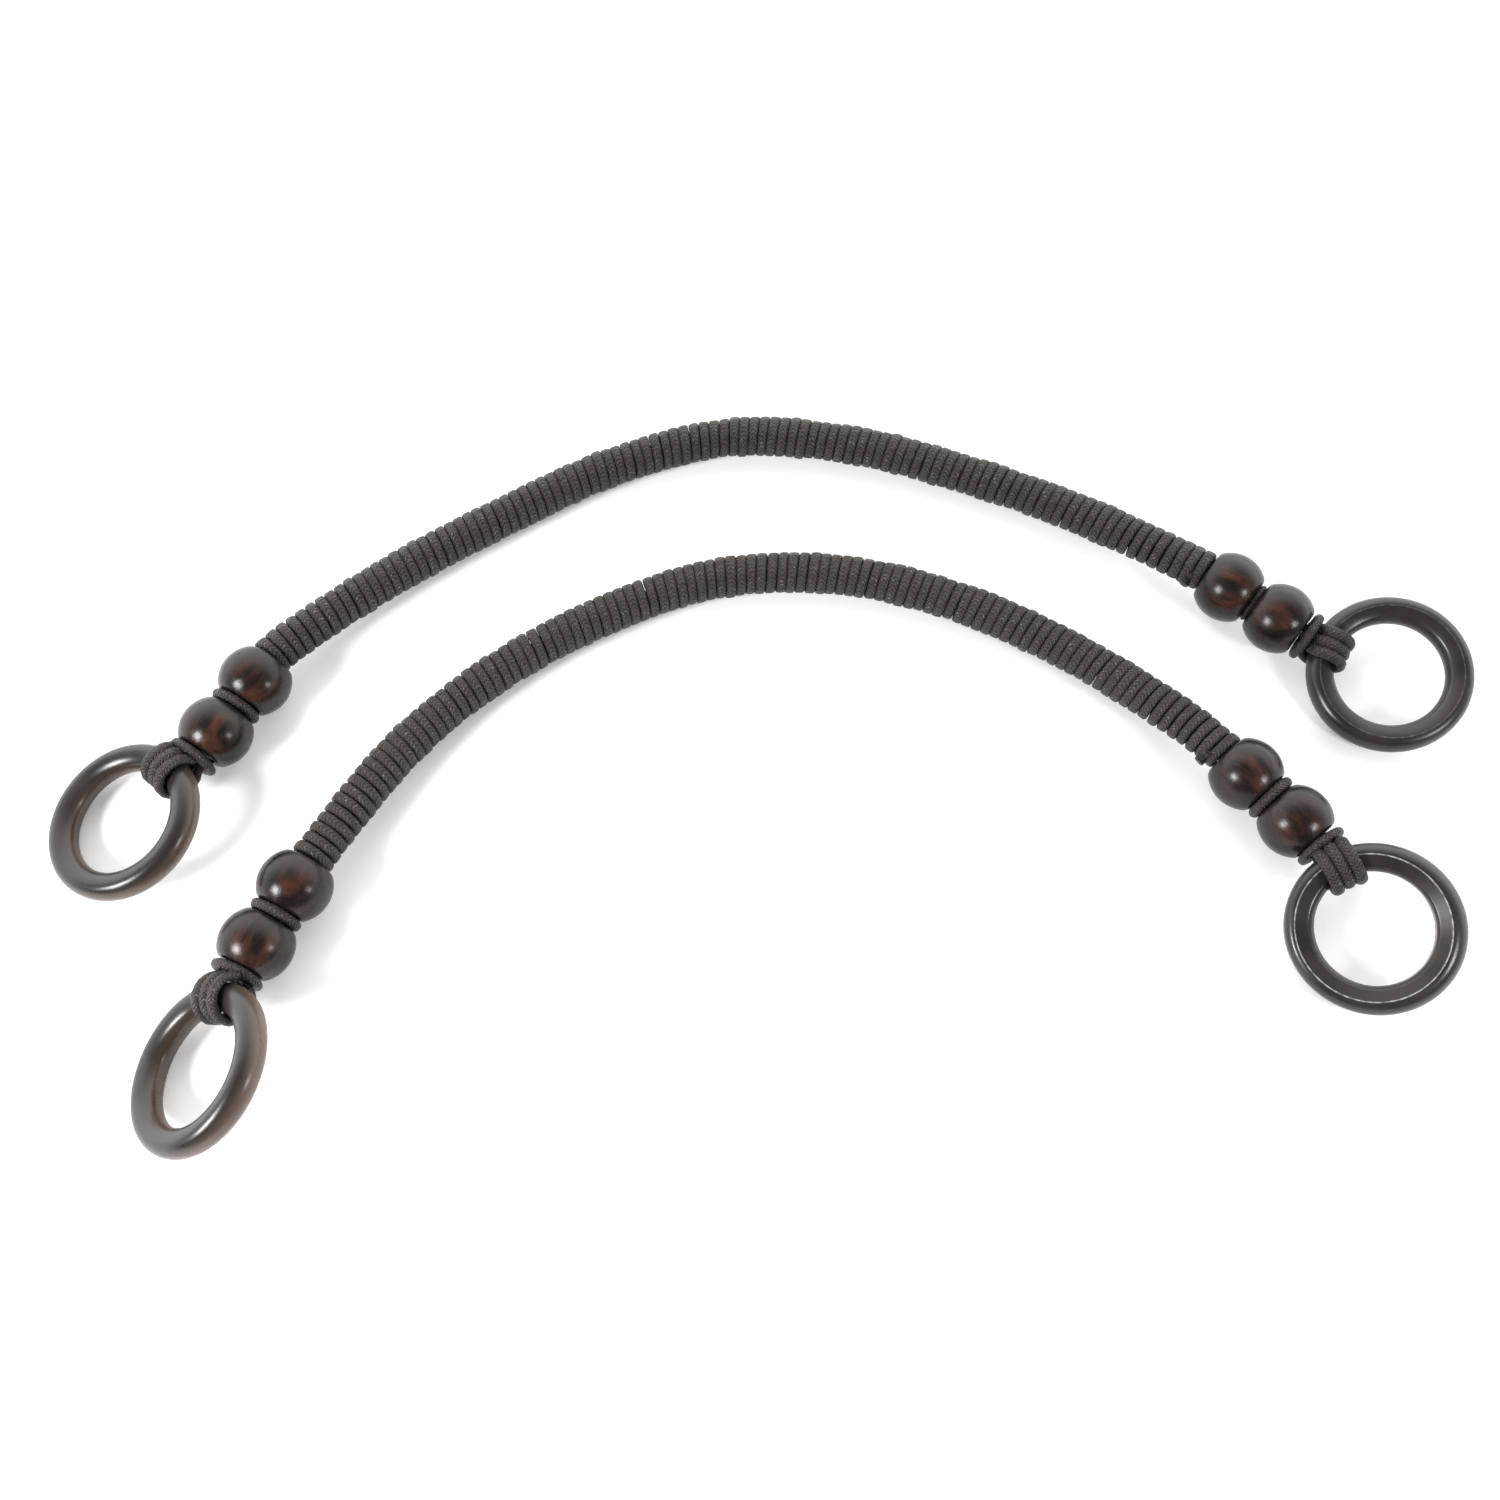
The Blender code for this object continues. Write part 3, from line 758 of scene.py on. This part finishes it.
def ring_profile(crisp):
    """Round outside, and from each crest a face that falls to the hole.

    crisp is 1 for a sharp crest with a nearly flat face, and 0 for a round tube.
    """
    reach = RING_OUTER_RADIUS - RING_CREST_RADIUS
    outside = [(RING_CREST_RADIUS + reach * math.cos(a), RING_HALF_HEIGHT * math.sin(a))
               for a in np.radians(np.linspace(90, -90, 37))]
    shoulder = (HOLE_RADIUS + 1.1 * MM, 2.80 * MM)
    corner = (HOLE_RADIUS + 0.15 * MM, 1.90 * MM)
    wall = (HOLE_RADIUS, 0.7 * MM)
    flat = [(RING_CREST_RADIUS + (shoulder[0] - RING_CREST_RADIUS) * t,
             RING_HALF_HEIGHT + (shoulder[1] - RING_HALF_HEIGHT) * t)
            for t in np.linspace(0, 1, 11)[1:]]
    rolled = [tuple(a * (1 - t) ** 2 + b * 2 * t * (1 - t) + c * t * t
                    for a, b, c in zip(shoulder, corner, wall))
              for t in np.linspace(0, 1, 11)[1:]]
    width = RING_CREST_RADIUS - HOLE_RADIUS
    round_face = [(RING_CREST_RADIUS - width * math.sin(turn),
                   RING_HALF_HEIGHT * math.cos(turn))
                  for turn in np.radians(np.linspace(0, 82, 21)[1:])]
    inside = [(crisp * a[0] + (1 - crisp) * b[0], crisp * a[1] + (1 - crisp) * b[1])
              for a, b in zip(flat + rolled, round_face)]
    below = [(radius, -height) for radius, height in reversed(inside)]
    return outside + below[::-1] + inside[::-1]


def collar(name, frame_at, radius, cord_radius, random, lean=0.0, flatness=1.0):
    """One closed turn of cord about the frame's +X.

    lean is how far its +Y side stands forward, and flatness narrows the cord along +X.
    """
    points = []
    for step in range(COLLAR_POINTS + 1):
        angle = 2 * math.pi * step / COLLAR_POINTS
        points.append(frame_at @ Vector((lean * math.cos(angle), radius * math.cos(angle),
                                         radius * math.sin(angle))))
    lead_in = points[-1 - COLLAR_LEAD:-1]
    lead_out = points[1:COLLAR_LEAD + 1]
    route = Route(lead_in + points + lead_out,
                  frame_at.to_3x3() @ Vector((1.0, 0.0, 0.0)))
    lead = route.lengths[COLLAR_LEAD * SPAN_SAMPLES]
    turn = route.lengths[(COLLAR_LEAD + COLLAR_POINTS) * SPAN_SAMPLES] - lead
    count = int(turn / CORD_SPACING)
    distance = lead + np.linspace(0, turn, count, endpoint=False)[:, None]
    around, width, thickness, cosine, sine = section(
        CORD_SIDES, cord_radius * flatness, cord_radius)
    angle = 2 * np.pi * (distance - lead) / turn
    relief = lumps(angle * round(turn / LUMP_LENGTH), around[None, :])
    swell = 1 + SWELL * np.sin(3 * angle + random.uniform(0, COLLAR_PHASES))
    across = thickness[None, :] * swell + relief * sine[None, :]
    above = width[None, :] * swell + relief * cosine[None, :]
    rows = route.place(np.broadcast_to(distance, across.shape), across, above)
    plaits = round(turn / (PLAIT_LENGTH * MM))
    lengths = np.linspace(0, plaits * PLAIT_LENGTH * MM, count + 1)
    return dress(skin(name, rows, lengths, loop=True), CORD)


def strand_points(neck, loop, place):
    """A strand: out of the neck collar, round the ring's tube and back in."""
    lateral = place * STRAND_PITCH
    set_back = RING_RADIUS - math.sqrt(RING_RADIUS ** 2 - lateral ** 2)
    across = NECK_PITCH * place
    height = NECK_HALF_HEIGHT
    legs = []
    angles = []
    for side in (1, -1):
        legs.append([neck @ Vector((along, across, side * height))
                     for along in LEG_PLACES])
        foot = loop.inverted() @ legs[-1][-1]
        toward_bead = set_back - foot.x
        distance = math.hypot(toward_bead, foot.z)
        rise = math.atan2(side * foot.z, toward_bead)
        angles.append(rise + math.acos(min(1.0, STRAND_REACH / distance)))
    first, last = angles[0], 2 * math.pi - angles[1]
    turns = np.linspace(first, last, STRAND_ARC_POINTS)
    arc_points = [loop @ Vector((set_back - STRAND_REACH * math.cos(turn), lateral,
                                 STRAND_REACH * math.sin(turn))) for turn in turns]
    return legs[0] + arc_points + legs[1][::-1]


class End:
    """The frames of one end of a handle, from the CAD frame's joints.

    +X points from the grip to the ring in all of them, and the ring's and the loop's +Z
    is the upper side of the ring.
    """

    def __init__(self, handle, side):
        self.prefix = f"{handle.prefix}_{side}"
        self.grip_body = f"{handle.prefix}_grip_{END_SEGMENT[side]}"
        self.axis = joint_axis(f"{self.prefix}_inner_bead_spin")
        self.bead = {place: joint_point(f"{self.prefix}_{place}_bead_spin")
                     for place in BEAD_PLACES}
        between = (self.bead["inner"] + self.bead["outer"]) / 2
        self.middle = frame_matrix(between, self.axis, UP)
        loop_at = joint_point(f"{self.prefix}_ring_swing")
        ring_at = node_centre(f"{self.prefix}_ring")
        toward = (ring_at - loop_at).normalized()
        normal = toward.cross(joint_axis(f"{self.prefix}_ring_swing"))
        if normal.z < 0:
            normal = -normal
        self.loop = frame_matrix(loop_at, toward, normal)
        self.ring = frame_matrix(ring_at, toward, normal)
        neck_twist = f"{self.prefix}_neck_twist"
        self.neck = frame_matrix(joint_point(neck_twist), joint_axis(neck_twist), normal)


def beads(end, random):
    z_along = Matrix.Rotation(math.pi / 2, 4, "Y")
    for place in BEAD_PLACES:
        roll = Matrix.Rotation(random.uniform(0, BEAD_ROLL), 4, "Z")
        at = frame_matrix(end.bead[place], end.axis, UP) @ z_along @ roll
        obj = lathe(f"{end.prefix}_{place}_bead_turned", bead_profile(), BEAD_STEPS, at)
        dress(obj, BEAD_WOOD)
        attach(obj, f"{end.prefix}_{place}_bead")
        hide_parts(f"{end.prefix}_{place}_bead")


def mid_collar(end, random):
    spacing = (end.bead["inner"] - end.bead["outer"]).length
    sizes = (COLLAR_RADIUS, COLLAR_CORD_RADIUS)
    if spacing < SUNK_SPACING:
        sizes = (SUNK_COLLAR_RADIUS, SUNK_CORD_RADIUS)
    obj = collar(f"{end.prefix}_mid_collar_cord", end.middle, *sizes, random)
    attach(obj, end.grip_body)
    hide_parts(f"{end.prefix}_mid_collar")


def neck_collar(end, random):
    shifted = end.neck @ Matrix.Translation((NECK_COLLAR_SHIFT, 0.0, 0.0))
    obj = collar(f"{end.prefix}_neck_collar_cord", shifted, COLLAR_RADIUS, COLLAR_CORD_RADIUS,
                 random, NECK_COLLAR_LEAN[end.prefix], NECK_COLLAR_FLATNESS)
    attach(obj, f"{end.prefix}_neck")
    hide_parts(f"{end.prefix}_neck_collar")


def cut_end(end):
    """The short cut end of a cord, curving out of the turn that CUT_ENDS says."""
    turn, degrees, length = CUT_ENDS[end.prefix]
    last_turn = end.bead["inner"] - end.axis * (
        BEAD_HALF_LENGTH + WINDING_TO_BEAD + WINDING_PITCH)
    at, radius, body = {
        "neck": (end.neck, COLLAR_RADIUS, f"{end.prefix}_neck"),
        "middle": (end.middle, COLLAR_RADIUS, end.grip_body),
        "winding": (frame_matrix(last_turn, end.axis, UP), WINDING_RADIUS, end.grip_body),
    }[turn]
    angle = math.radians(degrees)
    out = Vector((0.0, math.cos(angle), math.sin(angle)))
    tangent = Vector((0.0, -math.sin(angle), math.cos(angle)))
    place = out * radius - Vector((CUT_ASIDE, 0.0, 0.0))
    points = [place - tangent * CUT_ROOT, place, place + (tangent + out * 0.7) * length / 2,
              place + (tangent * 0.8 + out) * length]
    route = Route([at @ point for point in points], at.to_3x3() @ Vector((1.0, 0.0, 0.0)))
    obj = laid_cord(f"{end.prefix}_cut_end", route, COLLAR_CORD_RADIUS, COLLAR_CORD_RADIUS)
    dress(obj, CORD)
    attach(obj, body)


def cords_through_beads(end):
    first = end.bead["inner"] - end.axis * BEAD_HALF_LENGTH
    last = end.bead["outer"] + end.axis * (BEAD_HALF_LENGTH - BUNDLE_INSET)
    through = Route([first, end.bead["inner"], end.bead["outer"], last], UP)
    cords = []
    for k in range(BUNDLE_CORDS):
        lay_radius = BUNDLE_LAY_RADIUS if k else 0.0
        first_angle = 2 * math.pi * k / (BUNDLE_CORDS - 1)
        rows, lengths = twisted_rows(through, 0.0, through.length, 0.0, lay_radius,
                                     first_angle)
        cords.append(skin(f"cord_{k}", rows, lengths))
    name = f"{end.prefix}_cords_through_beads"
    obj = dress(joined(name, cords), CORD)
    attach(obj, end.grip_body)
    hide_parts(f"{end.prefix}_cord_bundle")


def strands(end, random):
    across_loop = end.loop.to_3x3() @ Vector((0, 1, 0))
    for number, place in enumerate((-1, 0, 1), 1):
        route = Route(strand_points(end.neck, end.loop, place), across_loop)
        obj = laid_cord(f"{end.prefix}_strand_{number}_cord", route, STRAND_HALF_WIDTH,
                        STRAND_HALF_THICKNESS, NECK_SQUEEZE, random.uniform(0, 2) * MM)
        dress(obj, CORD)
        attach(obj, f"{end.prefix}_neck")
        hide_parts(f"{end.prefix}_strand_{number}")


def ring(end):
    obj = lathe(f"{end.prefix}_ring_turned", ring_profile(RING_CRISPNESS[end.prefix]),
                RING_STEPS, end.ring, CREST_OFF_CENTRE.get(end.prefix, (0.0, 0.0)))
    dress(obj, RING_WOOD.get(end.prefix, PLAIN_RING_WOOD))
    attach(obj, f"{end.prefix}_ring")
    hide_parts(f"{end.prefix}_ring")


# The stage.

def floor():
    low = cad_box[0]
    mesh = bpy.data.meshes.new("floor")
    corners = [(-1, -1), (1, -1), (1, 1), (-1, 1)]
    mesh.from_pydata([(x * FLOOR_REACH, y * FLOOR_REACH, low.z) for x, y in corners], [],
                     [(0, 1, 2, 3)])
    obj = bpy.data.objects.new("floor", mesh)
    bpy.context.scene.collection.objects.link(obj)
    look = Look("pale_floor")
    place = look.add("TexCoord", {}).outputs["Object"]
    mottle = look.noise(place, 3.0)
    colour = look.blend(mottle, (0.90, 0.90, 0.895, 1.0), (0.93, 0.93, 0.925, 1.0))
    mesh.materials.append(look.finish(colour, 0.7, look.bump(mottle, 0.0001),
                                      Specular_IOR_Level=0.2,
                                      Emission_Color=WARM_WHITE,
                                      Emission_Strength=FLOOR_GLOW))


def softbox(name, place, size, radiance):
    """A square area light of this brightness, facing the middle of the floor."""
    data = bpy.data.lights.new(name, "AREA")
    data.shape = "SQUARE"
    data.size = size
    data.energy = radiance * math.pi * size * size
    obj = bpy.data.objects.new(name, data)
    obj.location = place
    obj.rotation_euler = (-Vector(place)).to_track_quat("-Z", "Y").to_euler()
    bpy.context.scene.collection.objects.link(obj)


def world():
    """A white tent, open and dim where the camera stands."""
    made = bpy.data.worlds.new("tent")
    bpy.context.scene.world = made
    made.use_nodes = True
    tree = made.node_tree
    background = tree.nodes["Background"]
    direction = tree.nodes.new("ShaderNodeTexCoord")
    facing = tree.nodes.new("ShaderNodeVectorMath")
    facing.operation = "DOT_PRODUCT"
    opening = math.radians(OPENING_ELEVATION)
    facing.inputs[1].default_value = (0.0, -math.cos(opening), math.sin(opening))
    fade = tree.nodes.new("ShaderNodeMapRange")
    fade.interpolation_type = "SMOOTHSTEP"
    fade.inputs["From Min"].default_value = math.cos(math.radians(OPENING_REACH[1]))
    fade.inputs["From Max"].default_value = math.cos(math.radians(OPENING_REACH[0]))
    fade.inputs["To Min"].default_value = TENT_RADIANCE
    fade.inputs["To Max"].default_value = OPENING_RADIANCE
    tree.links.new(direction.outputs["Generated"], facing.inputs[0])
    tree.links.new(facing.outputs["Value"], fade.inputs["Value"])
    tree.links.new(fade.outputs[0], background.inputs["Strength"])
    background.inputs["Color"].default_value = WARM_WHITE


def camera():
    """At the viewing angle, looking at the layout's origin."""
    data = bpy.data.cameras.new("camera")
    data.lens = CAMERA_LENS
    data.sensor_width = CAMERA_SENSOR
    obj = bpy.data.objects.new("camera", data)
    elevation = math.radians(CAMERA_ELEVATION)
    back = Vector((0.0, -math.cos(elevation), math.sin(elevation)))
    obj.location = back * CAMERA_DISTANCE - GROUND_CENTRE
    obj.rotation_euler = (math.pi / 2 - elevation, 0.0, 0.0)
    bpy.context.scene.collection.objects.link(obj)
    bpy.context.scene.camera = obj


def main():
    camera()
    random = np.random.default_rng(RANDOM_SEED)
    for prefix in GRIP_POINTS:
        handle = Handle(prefix)
        winding(handle, random)
        core(handle)
        for side in SIDES:
            end = End(handle, side)
            beads(end, random)
            mid_collar(end, random)
            neck_collar(end, random)
            cut_end(end)
            cords_through_beads(end)
            strands(end, random)
            ring(end)
    floor()
    world()
    for name, settings in SOFTBOXES.items():
        softbox(name, *settings)
    bpy.context.scene.view_settings.view_transform = "Standard"


main()
